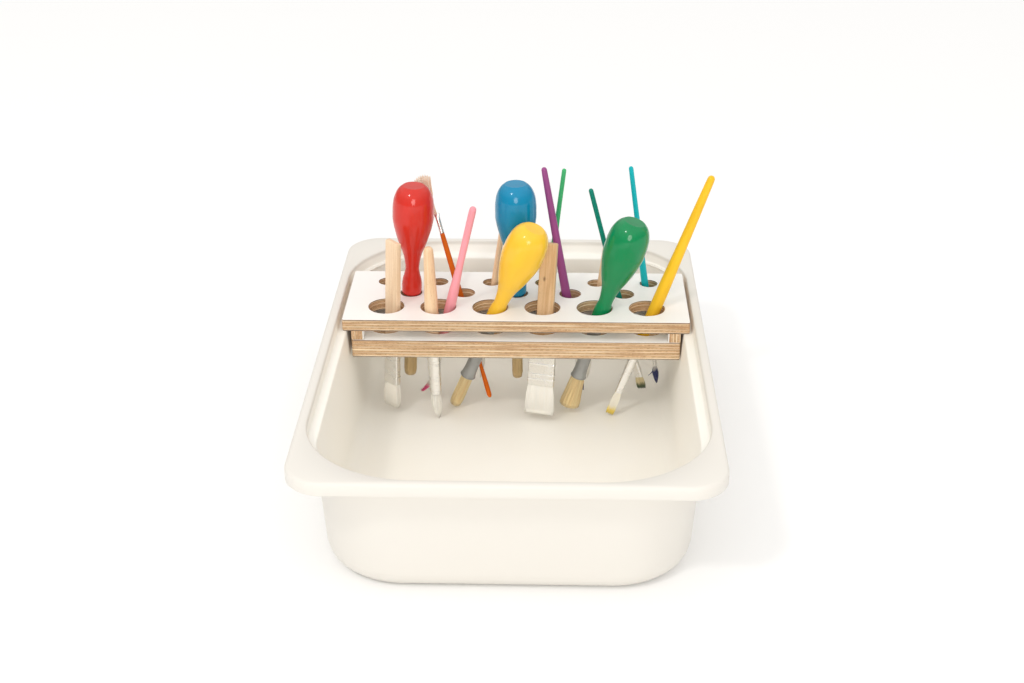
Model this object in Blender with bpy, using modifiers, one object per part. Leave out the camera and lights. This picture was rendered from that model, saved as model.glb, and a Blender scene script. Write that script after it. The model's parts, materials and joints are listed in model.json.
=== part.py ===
"""Brush caddy: a shallow moulded tub, a two-board plywood brush rack on its ledge, and sixteen brushes.

Units are metres with +Z up. The origin lies on the ground under the middle of the tub, +X runs across
the tub and +Y along it. Outlines are written in millimetres and scaled by MM where the mesh is made.
Heights along a brush are measured from the top face of the rack, positive upwards.
"""
import math
from collections import namedtuple

import bmesh
import bpy
from mathutils import Quaternion, Vector

MM = 0.001
GAP = 0.3                    # clearance left between touching pieces
WELD = 0.000001              # vertices this close, in metres, are one

# Tub
TUB_HALF_WIDTH = 150.0
TUB_HALF_LENGTH = 210.0
TUB_HEIGHT = 100.0
TUB_WALL = 2.0
TUB_CORNER = 28.0            # plan radius of the outer rim
OPENING_CORNER = 80.0        # plan radius of the opening inside the rim
BODY_CORNER = 57.0           # plan radius of the walls below the ledge
LIP_HEIGHT = 10.0
LEDGE_HEIGHT = 89.8          # shelf that carries the rack
CORNER_STEPS = 8

# Rack
RACK_X = 0.7                 # the rack stands slightly right of centre, within its play
RACK_FRONT = 39.4
RACK_DEPTH = 96.2
UPPER_WIDTH = 278.0
UPPER_THICKNESS = 9.9
LOWER_WIDTH = 264.0
LOWER_THICKNESS = 15.3
BOARD_SPACING = 8.0
SPACER_WIDTH = 9.8
SPACER_SIDES = {"left": -1, "right": 1}
RACK_TOP = LEDGE_HEIGHT + GAP + UPPER_THICKNESS
LOWER_TOP = RACK_TOP - UPPER_THICKNESS - BOARD_SPACING
LOWER_BOTTOM = LOWER_TOP - LOWER_THICKNESS

# Hole rows: number of holes, spacing, distance behind the tub's middle, hole radius, sides of its outline
HoleRow = namedtuple("HoleRow", "count pitch y radius sides")
HOLE_ROWS = {
    "front": HoleRow(6, 42.3, 66.1, 14.5, 28),
    "middle": HoleRow(5, 43.8, 93.2, 8.85, 20),
    "back": HoleRow(6, 43.8, 114.9, 7.25, 18),
}

# Screws
SCREW_INSET = 18.0           # from the front and back edges of the rack
SCREW_RADIUS = 1.7
SCREW_HEAD_RADIUS = 3.6
SCREW_HEAD_HEIGHT = 2.0
SCREW_BITE = 6.0             # length inside the upper board
SCREW_SIDES = 12

# Brush ferrules
FERRULE_WALL = 0.45
TENON = 9.0                  # how far the handle reaches into its ferrule
ROOT = 6.0                   # how far the bristles reach into the ferrule

COLLECTION = "brush_caddy"


def clear_scene():
    for item in list(bpy.data.objects):
        bpy.data.objects.remove(item, do_unlink=True)


def make_collection(name):
    group = bpy.data.collections.new(name)
    bpy.context.scene.collection.children.link(group)
    return group


def material(name, colour, roughness, metallic=0.0):
    surface = bpy.data.materials.new(name)
    surface.use_nodes = True
    shader = surface.node_tree.nodes["Principled BSDF"]
    shader.inputs["Base Color"].default_value = (*colour, 1.0)
    shader.inputs["Roughness"].default_value = roughness
    shader.inputs["Metallic"].default_value = metallic
    return surface


def add_object(name, mesh, surface, parent=None):
    mesh.name = name
    item = bpy.data.objects.new(name, mesh)
    item.data.materials.append(surface)
    parts.objects.link(item)
    if parent is not None:
        item.parent = parent
    return item


def finish_mesh(bm):
    bmesh.ops.recalc_face_normals(bm, faces=bm.faces)
    mesh = bpy.data.meshes.new("mesh")
    bm.to_mesh(mesh)
    bm.free()
    return mesh


def rounded_loop(half_x, half_y, radius, height, steps=CORNER_STEPS):
    """Points of a rounded rectangle, anticlockwise seen from above."""
    radius = min(radius, half_x, half_y)
    points = []
    for corner, (sx, sy) in enumerate(((1, 1), (-1, 1), (-1, -1), (1, -1))):
        centre_x = sx * (half_x - radius)
        centre_y = sy * (half_y - radius)
        for i in range(steps + 1):
            angle = (corner + i / steps) * math.pi / 2
            x = centre_x + radius * math.cos(angle)
            y = centre_y + radius * math.sin(angle)
            points.append(Vector((x, y, height)) * MM)
    return points


def loft(name, loops, surface, parent=None, ring=False):
    """Skin over a stack of loops of equal counts; a ring closes on itself, else both ends are capped."""
    bm = bmesh.new()
    rows = [[bm.verts.new(point) for point in loop] for loop in loops]
    pairs = list(zip(rows, rows[1:]))
    if ring:
        pairs.append((rows[-1], rows[0]))
    else:
        bm.faces.new(rows[0])
        bm.faces.new(rows[-1])
    for low, high in pairs:
        count = len(low)
        for i in range(count):
            j = (i + 1) % count
            bm.faces.new((low[i], low[j], high[j], high[i]))
    bmesh.ops.remove_doubles(bm, verts=bm.verts, dist=WELD)
    bmesh.ops.dissolve_degenerate(bm, edges=bm.edges, dist=WELD)
    return add_object(name, finish_mesh(bm), surface, parent)


def turned(name, outline, surface, parent=None, steps=12, ring=False):
    """Turned piece; the outline lists (height, radius) down its outer side, and a ring closes on itself."""
    mesh = bpy.data.meshes.new(name)
    points = [(radius * MM, 0.0, height * MM) for height, radius in outline]
    edges = [(i, i + 1) for i in range(len(points) - 1)]
    if ring:
        edges.append((len(points) - 1, 0))
    mesh.from_pydata(points, edges, [])
    item = add_object(name, mesh, surface, parent)
    screw = item.modifiers.new("Turn", "SCREW")
    screw.axis = "Z"
    screw.angle = math.tau
    screw.steps = steps
    screw.render_steps = steps
    screw.use_merge_vertices = True
    screw.merge_threshold = 10 * WELD


def plate(name, width, thickness, base, holes, surface):
    """Flat board with its underside at height base and round through holes, each (x, y, radius, sides)."""
    curve = bpy.data.curves.new(name, "CURVE")
    curve.dimensions = "2D"
    curve.fill_mode = "BOTH"
    curve.extrude = thickness / 2 * MM
    left, right = RACK_X - width / 2, RACK_X + width / 2
    back = RACK_FRONT + RACK_DEPTH
    add_outline(curve, [(left, RACK_FRONT), (right, RACK_FRONT), (right, back), (left, back)])
    for x, y, radius, sides in holes:
        angles = [math.tau * i / sides for i in range(sides)]
        add_outline(curve, [(x + radius * math.cos(a), y + radius * math.sin(a)) for a in angles])
    guide = bpy.data.objects.new(name + "_outline", curve)
    guide.location.z = (base + thickness / 2) * MM
    parts.objects.link(guide)
    bpy.context.view_layer.update()
    evaluated = guide.evaluated_get(bpy.context.evaluated_depsgraph_get())
    mesh = bpy.data.meshes.new_from_object(evaluated)
    place = guide.matrix_world.copy()
    bpy.data.objects.remove(guide, do_unlink=True)
    bm = bmesh.new()
    bm.from_mesh(mesh)
    bmesh.ops.remove_doubles(bm, verts=bm.verts, dist=WELD)
    item = add_object(name, finish_mesh(bm), surface)
    item.matrix_world = place
    return item


def add_outline(curve, points):
    spline = curve.splines.new("POLY")
    spline.points.add(len(points) - 1)
    for slot, (x, y) in zip(spline.points, points):
        slot.co = (x * MM, y * MM, 0.0, 1.0)
    spline.use_cyclic_u = True


def hole_centre(row, number):
    """Centre of a hole, counted from 1 at the left end of its row."""
    holes = HOLE_ROWS[row]
    return RACK_X + (number - (holes.count + 1) / 2) * holes.pitch, holes.y


def rack_holes():
    holes = []
    for name, row in HOLE_ROWS.items():
        for number in range(1, row.count + 1):
            holes.append((*hole_centre(name, number), row.radius, row.sides))
    return holes


def spacer_centre(end):
    return RACK_X + SPACER_SIDES[end] * (LOWER_WIDTH - SPACER_WIDTH) / 2


def screw_places():
    """Name and centre of each screw, two along each spacer."""
    sides = (("front", RACK_FRONT + SCREW_INSET), ("back", RACK_FRONT + RACK_DEPTH - SCREW_INSET))
    return [(f"{side}_{end}", spacer_centre(end), y) for end in SPACER_SIDES for side, y in sides]


def build_tub():
    """Open tub as one skin: up the inside, over the rim, down the lip, and back down the outside."""
    w, l, h = TUB_HALF_WIDTH, TUB_HALF_LENGTH, TUB_HEIGHT
    ledge = LEDGE_HEIGHT
    lip_base = h - LIP_HEIGHT
    rim_base = h - TUB_WALL - GAP
    stations = [
        # inside, from the floor to the rim
        (117.4, 173.0, BODY_CORNER - 12.0, TUB_WALL),
        (123.5, 179.0, BODY_CORNER - 6.0, TUB_WALL + 1.6),
        (128.2, 183.8, BODY_CORNER - 2.5, TUB_WALL + 6.0),
        (130.0, 185.6, BODY_CORNER - 1.0, TUB_WALL + 13.0),
        (134.8, 189.2, BODY_CORNER, ledge - 1.5),
        (136.0, 190.4, BODY_CORNER + 1.2, ledge),
        (141.6, 198.6, OPENING_CORNER - 5.0, ledge),
        (142.5, 202.8, OPENING_CORNER, h - 1.2),
        (143.4, 203.7, OPENING_CORNER, h),
        # over the rim and down the lip
        (w - 2.2, l - 2.2, TUB_CORNER - 2.2, h),
        (w - 0.6, l - 0.6, TUB_CORNER - 0.6, h - 0.6),
        (w, l, TUB_CORNER, h - 2.2),
        (w, l, TUB_CORNER, lip_base),
        (w - TUB_WALL, l - TUB_WALL, TUB_CORNER - TUB_WALL, lip_base),
        # under the rim and down the outside
        (w - TUB_WALL - 0.2, l - TUB_WALL - 0.2, TUB_CORNER - TUB_WALL - 0.2, rim_base),
        (144.7, 205.0, OPENING_CORNER + 2.0, rim_base),
        (143.7, 200.9, OPENING_CORNER - 3.0, ledge - 1.6),
        (138.2, 192.6, BODY_CORNER + 3.4, ledge - TUB_WALL - 0.2),
        (136.8, 191.2, BODY_CORNER + 2.0, ledge - TUB_WALL - 2.0),
        (132.0, 187.6, BODY_CORNER + 1.0, TUB_WALL + 12.0),
        (130.0, 185.4, BODY_CORNER - 0.7, TUB_WALL + 4.0),
        (125.4, 180.6, BODY_CORNER - 4.5, 0.9),
        (119.4, 174.6, BODY_CORNER - 10.5, 0.0),
    ]
    loops = [rounded_loop(*station) for station in stations]
    loft("tub", loops, tub_plastic)


def drill(item, place, x, y, middle, depth):
    """Cuts one round screw hole, its depth centred on a height."""
    bm = bmesh.new()
    radius = (SCREW_RADIUS + GAP) * MM
    bmesh.ops.create_cone(
        bm, cap_ends=True, segments=SCREW_SIDES, radius1=radius, radius2=radius, depth=depth * MM)
    cutter = bpy.data.objects.new(f"{item.name}_hole_{place}", finish_mesh(bm))
    cutters.objects.link(cutter)
    cutter.location = Vector((x, y, middle)) * MM
    cutter.hide_render = True
    cutter.display_type = "WIRE"
    cut = item.modifiers.new("Hole " + place, "BOOLEAN")
    cut.operation = "DIFFERENCE"
    cut.object = cutter


def build_rack():
    holes = rack_holes()
    upper = plate("upper_board", UPPER_WIDTH, UPPER_THICKNESS, RACK_TOP - UPPER_THICKNESS, holes, plywood)
    passages = [(x, y, SCREW_RADIUS + GAP, SCREW_SIDES) for place, x, y in screw_places()]
    plate("lower_board", LOWER_WIDTH, LOWER_THICKNESS, LOWER_BOTTOM, holes + passages, plywood)
    pilot_depth = 2 * (SCREW_BITE + 2 * GAP)
    for place, x, y in screw_places():
        drill(upper, place, x, y, RACK_TOP - UPPER_THICKNESS, pilot_depth)
        build_screw("screw_" + place, x, y)
    for end in SPACER_SIDES:
        build_spacer(end)


def build_spacer(end):
    """Plywood strip between the boards, pierced by its two screws."""
    middle = LOWER_TOP + BOARD_SPACING / 2
    size = Vector((SPACER_WIDTH, RACK_DEPTH, BOARD_SPACING - 2 * GAP)) * MM
    bm = bmesh.new()
    bmesh.ops.create_cube(bm, size=1.0)
    bmesh.ops.scale(bm, vec=size, verts=bm.verts)
    item = add_object(end + "_spacer", finish_mesh(bm), plywood)
    item.location = Vector((spacer_centre(end), RACK_FRONT + RACK_DEPTH / 2, middle)) * MM
    for place, x, y in screw_places():
        if place.endswith(end):
            drill(item, place, x, y, middle, 2 * BOARD_SPACING)


def build_screw(name, x, y):
    """Pan-head screw driven up from under the rack."""
    top = RACK_TOP - UPPER_THICKNESS + SCREW_BITE
    seat = LOWER_BOTTOM - GAP
    outline = [
        (top, 0.0),
        (top - 2.0, SCREW_RADIUS),
        (seat, SCREW_RADIUS),
        (seat, SCREW_HEAD_RADIUS),
        (seat - SCREW_HEAD_HEIGHT * 0.5, SCREW_HEAD_RADIUS),
        (seat - SCREW_HEAD_HEIGHT, SCREW_HEAD_RADIUS * 0.6),
        (seat - SCREW_HEAD_HEIGHT, 0.0),
    ]
    parent = bpy.data.objects.new(name + "_axis", None)
    parts.objects.link(parent)
    parent.location = (x * MM, y * MM, 0.0)
    turned(name, outline, zinc, parent, steps=10)


def brush_axis(name, hole, offset, lean, turn=0.0):
    """Empty on a brush's axis where it crosses the rack's top face; its Z runs up the leaning brush."""
    x, y = hole_centre(*hole)
    axis = Vector((lean[0], lean[1], 1.0)).normalized()
    tilt = Vector((0.0, 0.0, 1.0)).rotation_difference(axis)
    spin = Quaternion((0.0, 0.0, 1.0), math.radians(turn))
    empty = bpy.data.objects.new(name + "_axis", None)
    parts.objects.link(empty)
    empty.rotation_mode = "QUATERNION"
    empty.rotation_quaternion = tilt @ spin
    empty.location = Vector((x + offset[0], y + offset[1], RACK_TOP)) * MM
    return empty


def round_ferrule(name, outline, parent):
    """Thin metal tube around the joint of handle and bristles; the outline is its outer side."""
    inner = [(height, radius - FERRULE_WALL) for height, radius in reversed(outline)]
    turned(name + "_ferrule", list(outline) + inner, nickel, parent, ring=True)


def narrowest(outline, low, high):
    """Smallest radius of an outline between two heights, with straight stretches between its points."""
    radii = []
    for (upper, first), (lower, last) in zip(outline, outline[1:]):
        for height in (low, high, upper, lower):
            if lower <= height <= upper and low <= height <= high:
                share = (upper - height) / (upper - lower)
                radii.append(first + (last - first) * share)
    return min(radii)


def tenon_outline(top, radius):
    """End of a handle inside a ferrule that starts at height top."""
    inner = radius - FERRULE_WALL - GAP
    return [(top + GAP, inner), (top - TENON, inner), (top - TENON, 0.0)]


def round_brush(name, hole, offset, lean, handle, ferrule, bristles, paint, hair, steps=12):
    """Round brush: turned handle with a tenon, tube ferrule and a tuft whose root sits in the ferrule."""
    parent = brush_axis(name, hole, offset, lean)
    start, mouth = ferrule[0], ferrule[-1]
    body = list(handle) + tenon_outline(start[0], narrowest(ferrule, start[0] - TENON, start[0]))
    turned(name + "_handle", body, paint, parent, steps)
    round_ferrule(name, ferrule, parent)
    throat = narrowest(ferrule, mouth[0], mouth[0] + ROOT) - FERRULE_WALL - GAP
    tuft = [(mouth[0] + ROOT, 0.0), (mouth[0] + ROOT, throat), (mouth[0] - GAP, throat)] + list(bristles)
    turned(name + "_bristles", tuft, hair, parent)


# Outline of the bulb handle: distance below its flat top, radius
DABBER_OUTLINE = (
    (0.0, 8.8), (2.6, 11.8), (7.0, 14.5), (13.0, 16.2), (20.0, 16.8), (27.0, 16.8),
    (34.0, 15.9), (44.0, 13.4), (52.0, 10.9), (59.0, 8.2), (66.0, 6.5), (74.0, 5.7),
    (79.0, 6.5), (84.0, 7.7), (90.0, 8.3), (95.0, 8.0), (97.6, 6.6),
)
DABBER_NECK = 74.0
DABBER_HANDLE = 97.6


def dabber(name, hole, offset, lean, top, tip, bead, ferrule_length, tuft_radius, paint, stretch=1.0):
    """Stubby bulb-handled brush with a long round ferrule that flares at its mouth.

    The foot bead below the neck is held down to the radius bead, so that it passes its hole.
    """
    handle = [(top, 0.0)]
    for drop, radius in DABBER_OUTLINE:
        widest = bead if drop > DABBER_NECK else radius
        handle.append((top - drop * stretch, min(radius, widest)))
    start = top - DABBER_HANDLE * stretch - GAP
    mouth = start - ferrule_length
    ferrule = [(start, 5.5), (start - 12.0, 5.1), (mouth + 8.0, 5.4), (mouth, 6.1)]
    shoulder = tuft_radius * 0.72
    bristles = [(mouth - 4.0, tuft_radius - 0.3), (tip + 2.5, tuft_radius), (tip, shoulder), (tip, 0.0)]
    round_brush(name, hole, offset, lean, handle, ferrule, bristles, paint, hog_hair, steps=18)


def build_dabbers():
    dabber(
        "red_dabber", ("middle", 1), (0.4, -0.6), (0.047, -0.010),
        top=94.9, tip=-76.7, bead=8.2, ferrule_length=48.7, tuft_radius=5.5, paint=red_lacquer,
        stretch=0.98)
    dabber(
        "blue_dabber", ("middle", 3), (-0.4, 0.0), (-0.008, -0.016),
        top=96.9, tip=-79.1, bead=8.2, ferrule_length=48.0, tuft_radius=4.7, paint=blue_lacquer)
    dabber(
        "yellow_dabber", ("front", 3), (6.7, -1.7), (0.398, -0.115),
        top=79.3, tip=-103.2, bead=6.9, ferrule_length=52.2, tuft_radius=5.4, paint=yellow_lacquer)
    dabber(
        "green_dabber", ("front", 5), (6.8, -1.2), (0.301, -0.042),
        top=80.6, tip=-96.0, bead=7.0, ferrule_length=48.4, tuft_radius=6.0, paint=green_lacquer)


def build_round_brushes():
    round_brush(
        "natural_round", ("front", 2), (-5.3, -4.7), (-0.029, 0.066),
        handle=[(53.3, 0.0), (53.0, 1.8), (52.0, 3.1), (50.0, 3.9), (25.0, 4.8), (0.0, 5.6),
                (-20.0, 5.8), (-37.0, 5.2)],
        ferrule=[(-37.3, 5.2), (-46.0, 5.2), (-75.0, 4.6)],
        bristles=[(-78.0, 4.6), (-85.0, 4.8), (-91.0, 3.6), (-96.5, 1.2), (-98.0, 0.0)],
        paint=natural_wood, hair=white_hair)
    round_brush(
        "pink_round", ("front", 2), (9.7, 0.3), (0.226, -0.135),
        handle=[(95.0, 0.0), (94.4, 1.7), (92.5, 2.7), (88.0, 2.9), (45.0, 2.8), (10.0, 4.1),
                (-5.0, 4.3), (-38.0, 3.0)],
        ferrule=[(-38.3, 3.1), (-60.0, 2.9), (-74.0, 2.4)],
        bristles=[(-80.0, 2.2), (-86.0, 1.2), (-89.0, 0.0)],
        paint=pink_lacquer, hair=white_hair)
    round_brush(
        "purple_round", ("middle", 4), (-3.4, 1.2), (-0.179, 0.068),
        handle=[(109.4, 0.0), (108.8, 1.4), (107.0, 2.3), (80.0, 2.8), (20.0, 3.5), (-8.0, 3.8),
                (-36.0, 2.8)],
        ferrule=[(-36.3, 2.9), (-55.0, 2.7), (-68.0, 2.2)],
        bristles=[(-75.0, 2.2), (-83.0, 1.5), (-89.3, 0.0)],
        paint=purple_lacquer, hair=white_hair)
    round_brush(
        "plain_round_left", ("back", 3), (2.3, -0.9), (0.141, -0.014),
        handle=[(64.5, 0.0), (64.0, 1.4), (62.0, 2.1), (30.0, 2.5), (0.0, 2.7), (-36.0, 2.3)],
        ferrule=[(-36.3, 2.4), (-55.0, 2.3), (-71.0, 2.0)],
        bristles=[(-77.0, 2.0), (-86.0, 1.3), (-92.3, 0.0)],
        paint=natural_wood, hair=white_hair)
    round_brush(
        "light_green_round", ("back", 4), (4.0, -0.2), (0.118, -0.005),
        handle=[(102.4, 0.0), (102.0, 1.1), (100.6, 1.8), (72.0, 1.9), (15.0, 2.7), (-5.0, 2.9),
                (-36.0, 2.3)],
        ferrule=[(-36.3, 2.4), (-60.0, 2.3), (-77.0, 1.9)],
        bristles=[(-83.0, 1.9), (-91.0, 1.2), (-97.0, 0.0)],
        paint=light_green_lacquer, hair=white_hair)
    round_brush(
        "plain_round_right", ("back", 5), (3.7, -0.2), (0.106, -0.010),
        handle=[(38.6, 0.0), (38.2, 1.4), (36.4, 2.2), (20.0, 2.5), (0.0, 2.7), (-36.0, 2.3)],
        ferrule=[(-36.3, 2.4), (-55.0, 2.3), (-70.0, 2.0)],
        bristles=[(-77.0, 2.0), (-85.0, 1.3), (-90.9, 0.0)],
        paint=natural_wood, hair=white_hair)
    round_brush(
        "turquoise_round", ("back", 6), (-3.1, 0.2), (-0.143, 0.012),
        handle=[(104.4, 0.0), (103.9, 1.2), (102.2, 1.9), (66.0, 2.1), (12.0, 2.8), (-8.0, 3.0),
                (-36.0, 2.5)],
        ferrule=[(-36.3, 2.6), (-60.0, 2.6), (-77.5, 2.3)],
        bristles=[(-83.0, 2.9), (-89.0, 2.2), (-94.7, 0.0)],
        paint=turquoise_lacquer, hair=white_hair)


def flat_loops(stations, steps=3):
    """Rounded rectangles from (height, half width, half thickness, corner radius) rows."""
    return [rounded_loop(*section, height, steps) for height, *section in stations]


def flat_tube(name, stations, surface, parent):
    """Thin tube through the same kind of rows, closed over both of its rims."""
    inner = []
    for height, half_x, half_y, radius in reversed(stations):
        corner = max(radius - FERRULE_WALL, 0.3)
        inner.append((height, half_x - FERRULE_WALL, half_y - FERRULE_WALL, corner))
    loft(name, flat_loops(list(stations) + inner), surface, parent, ring=True)


def build_flat_brushes():
    parent = brush_axis("small_flat", ("front", 1), (5.3, 0.0), (0.040, 0.0), turn=-38.0)
    loft("small_flat_handle", flat_loops([
        (57.3, 6.1, 1.9, 0.6), (56.7, 6.5, 2.3, 0.7), (0.0, 6.5, 2.4, 0.7), (-38.0, 6.5, 2.4, 0.7),
        (-38.0, 6.0, 2.0, 0.6), (-47.0, 6.0, 2.0, 0.6)]), natural_wood, parent)
    flat_tube("small_flat_ferrule", [(-38.3, 6.9, 2.8, 0.8), (-70.5, 6.9, 2.8, 0.8)], nickel, parent)
    loft("small_flat_bristles", flat_loops([
        (-64.0, 6.1, 2.0, 0.6), (-70.8, 6.1, 2.0, 0.6), (-78.0, 7.0, 2.5, 0.9), (-90.5, 6.9, 2.2, 0.9),
        (-92.0, 6.1, 1.4, 0.6)]), cream_hair, parent)

    parent = brush_axis("wide_flat", ("front", 4), (2.7, 3.0), (0.054, 0.190), turn=-13.7)
    loft("wide_flat_handle", flat_loops([
        (52.2, 6.3, 2.0, 0.6), (51.5, 6.8, 2.4, 0.8), (-8.0, 6.8, 2.4, 0.8), (-32.0, 10.3, 2.5, 0.8),
        (-36.0, 10.6, 2.5, 0.8), (-36.0, 10.2, 2.0, 0.6), (-45.0, 10.2, 2.0, 0.6)]), natural_wood, parent)
    flat_tube("wide_flat_ferrule", [(-36.3, 10.95, 2.8, 1.0), (-67.6, 10.95, 2.8, 1.0)], nickel, parent)
    loft("wide_flat_bristles", flat_loops([
        (-61.0, 10.1, 1.9, 0.6), (-67.9, 10.1, 1.9, 0.6), (-74.0, 10.9, 2.4, 0.9),
        (-91.0, 10.9, 1.9, 0.9),
        (-92.8, 10.2, 1.0, 0.5)]), white_hair, parent)

    parent = brush_axis("long_yellow_flat", ("front", 6), (6.8, 0.9), (0.367, 0.054), turn=0.0)
    turned("long_yellow_flat_handle", [
        (119.3, 0.0), (118.8, 1.6), (116.5, 2.9), (112.0, 3.1), (60.0, 4.1), (8.0, 5.0), (-6.0, 5.0),
        (-38.0, 4.2),
        *tenon_outline(-38.3, 4.4)], yellow_lacquer, parent)
    flat_tube("long_yellow_flat_ferrule", [
        (-38.3, 4.4, 4.4, 4.4), (-50.0, 4.1, 4.0, 4.0), (-81.0, 3.0, 1.5, 1.5)], nickel, parent)
    loft("long_yellow_flat_bristles", flat_loops([
        (-75.0, 2.3, 0.9, 0.8), (-81.3, 2.2, 0.7, 0.6), (-86.0, 3.0, 1.2, 1.0), (-98.0, 2.9, 0.9, 0.8),
        (-101.8, 2.6, 0.5, 0.4)]), white_hair, parent)

    parent = brush_axis("teal_flat", ("middle", 5), (-4.6, -0.3), (-0.260, -0.009), turn=-20.0)
    turned("teal_flat_handle", [
        (96.2, 0.0), (95.8, 1.1), (94.4, 1.9), (56.0, 2.0), (5.0, 2.8), (-8.0, 2.9), (-38.0, 2.5),
        *tenon_outline(-38.3, 2.7)], teal_lacquer, parent)
    flat_tube("teal_flat_ferrule", [
        (-38.3, 2.7, 2.7, 2.7), (-52.0, 2.8, 2.5, 2.5), (-79.5, 3.6, 1.4, 1.2)], nickel, parent)
    loft("teal_flat_bristles", flat_loops([
        (-73.0, 2.6, 0.7, 0.6), (-79.8, 2.9, 0.6, 0.5), (-84.0, 3.7, 1.2, 1.0), (-89.5, 3.7, 0.9, 0.8),
        (-90.9, 3.3, 0.5, 0.4)]), hog_hair, parent)


def build_fan_brush():
    """Stored handle down: the tapered handle hangs through the rack and the fan stands above it."""
    parent = brush_axis("orange_fan", ("middle", 2), (-4.6, 3.5), (-0.288, 0.213))
    turned("orange_fan_handle", [
        (60.0, 0.0), (60.0, 1.2), (50.3, 1.2), (50.3, 1.9), (42.0, 2.1), (20.0, 2.3), (0.0, 2.7),
        (-18.0, 2.8),
        (-45.0, 1.9), (-65.0, 1.5), (-85.0, 2.0), (-92.0, 2.0), (-94.7, 1.3),
        (-95.5, 0.0)], orange_lacquer, parent)
    flat_tube("orange_fan_ferrule", [
        (67.0, 2.6, 1.1, 1.0), (62.0, 2.1, 2.0, 1.9), (50.6, 2.0, 2.0, 2.0)], nickel, parent)
    loft("orange_fan_bristles", flat_loops([
        (101.5, 5.0, 0.3, 0.25), (99.0, 7.4, 0.4, 0.3), (94.0, 7.8, 0.5, 0.4), (80.0, 4.9, 0.6, 0.5),
        (67.3, 1.8, 0.35, 0.3), (62.0, 1.2, 0.35, 0.3)]), cream_hair, parent)


clear_scene()
parts = make_collection(COLLECTION)
cutters = make_collection("cutters")

tub_plastic = material("tub_plastic", (0.90, 0.87, 0.80), 0.32)
plywood = material("plywood", (0.80, 0.58, 0.35), 0.55)
zinc = material("zinc", (0.62, 0.63, 0.65), 0.35, 1.0)
nickel = material("nickel", (0.74, 0.73, 0.70), 0.28, 1.0)
natural_wood = material("natural_wood", (0.78, 0.57, 0.34), 0.5)
white_hair = material("white_hair", (0.86, 0.80, 0.68), 0.7)
cream_hair = material("cream_hair", (0.82, 0.70, 0.52), 0.7)
hog_hair = material("hog_hair", (0.60, 0.42, 0.17), 0.7)
red_lacquer = material("red_lacquer", (0.56, 0.03, 0.02), 0.15)
blue_lacquer = material("blue_lacquer", (0.0, 0.22, 0.43), 0.15)
yellow_lacquer = material("yellow_lacquer", (0.95, 0.52, 0.03), 0.15)
green_lacquer = material("green_lacquer", (0.01, 0.26, 0.10), 0.15)
pink_lacquer = material("pink_lacquer", (0.95, 0.33, 0.42), 0.3)
orange_lacquer = material("orange_lacquer", (0.66, 0.12, 0.01), 0.25)
purple_lacquer = material("purple_lacquer", (0.33, 0.07, 0.25), 0.25)
light_green_lacquer = material("light_green_lacquer", (0.07, 0.43, 0.16), 0.25)
teal_lacquer = material("teal_lacquer", (0.01, 0.20, 0.15), 0.25)
turquoise_lacquer = material("turquoise_lacquer", (0.03, 0.42, 0.46), 0.25)

build_tub()
build_rack()
build_dabbers()
build_round_brushes()
build_flat_brushes()
build_fan_brush()
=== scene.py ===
"""Looks of the brush caddy: a moulded tub, a laminated plywood rack and sixteen brushes with real bristles.

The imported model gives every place: the tub's and boards' boxes, each brush's slide axis and the sections
of its handle, ferrule and tuft. The row frame is in metres with +Z up. Each brush is built in a frame of
its own, in millimetres, with Z up its axis, X across its width and height 0 at the rack's top face.
"""
import json
import math
import random

import bmesh
import bpy
import numpy as np
from mathutils import Matrix, Vector


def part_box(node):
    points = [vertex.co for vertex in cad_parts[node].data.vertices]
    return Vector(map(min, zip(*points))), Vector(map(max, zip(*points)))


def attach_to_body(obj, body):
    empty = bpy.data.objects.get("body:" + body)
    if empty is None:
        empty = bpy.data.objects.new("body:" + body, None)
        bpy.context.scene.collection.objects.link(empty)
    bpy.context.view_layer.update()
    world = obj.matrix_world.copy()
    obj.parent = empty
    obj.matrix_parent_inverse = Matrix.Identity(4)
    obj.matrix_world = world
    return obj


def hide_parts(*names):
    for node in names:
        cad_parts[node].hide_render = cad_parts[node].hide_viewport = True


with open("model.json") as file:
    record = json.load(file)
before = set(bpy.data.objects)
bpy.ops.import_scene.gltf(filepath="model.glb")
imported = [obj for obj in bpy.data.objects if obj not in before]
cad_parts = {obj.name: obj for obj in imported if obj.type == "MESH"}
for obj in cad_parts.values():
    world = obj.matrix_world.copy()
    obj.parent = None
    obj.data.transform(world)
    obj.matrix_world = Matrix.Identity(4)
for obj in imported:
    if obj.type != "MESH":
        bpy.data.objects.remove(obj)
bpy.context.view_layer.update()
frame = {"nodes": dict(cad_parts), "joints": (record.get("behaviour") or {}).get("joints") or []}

MM = 0.001
WELD = 0.0000005

TUB_LOW, TUB_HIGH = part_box("tub")
RACK_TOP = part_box("upper_board")[1].z
SPACER_RISE = 7.7
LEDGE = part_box("lower_board")[1].z / MM + SPACER_RISE     # height of the tub's ledge, in millimetres

# Camera, in the row frame
CAMERA_PLACE = (0.0303, -1.1104, 0.6553)
CAMERA_YAW = -1.617
CAMERA_PITCH = 26.49
CAMERA_ROLL = 0.159
CAMERA_LENS = 56.34
CAMERA_SENSOR = 36.0

# Rack holes: number in the row, spacing, distance from the board's front edge, radius, in millimetres
HOLE_ROWS = ((6, 42.3, 26.7, 14.5), (5, 43.8, 53.8, 8.85), (6, 43.8, 75.5, 7.25))
BOARD_CORNER = 1.6
LAMINATE = 0.7
UPPER_VENEERS = 7
LOWER_VENEERS = 11
SPACER_VENEERS = 7
# The tub's painted shade covers the rim top from these heights up.
RIM_RANGE = (0.0955, 0.0985)     # heights between which the tub's wall becomes its rim, in metres
CORNERS = ((1, 1), (-1, 1), (-1, -1), (1, -1))
PLAIN = (1.0, 1.0, 1.0)
GOLDEN_ANGLE = 2.399963

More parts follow.
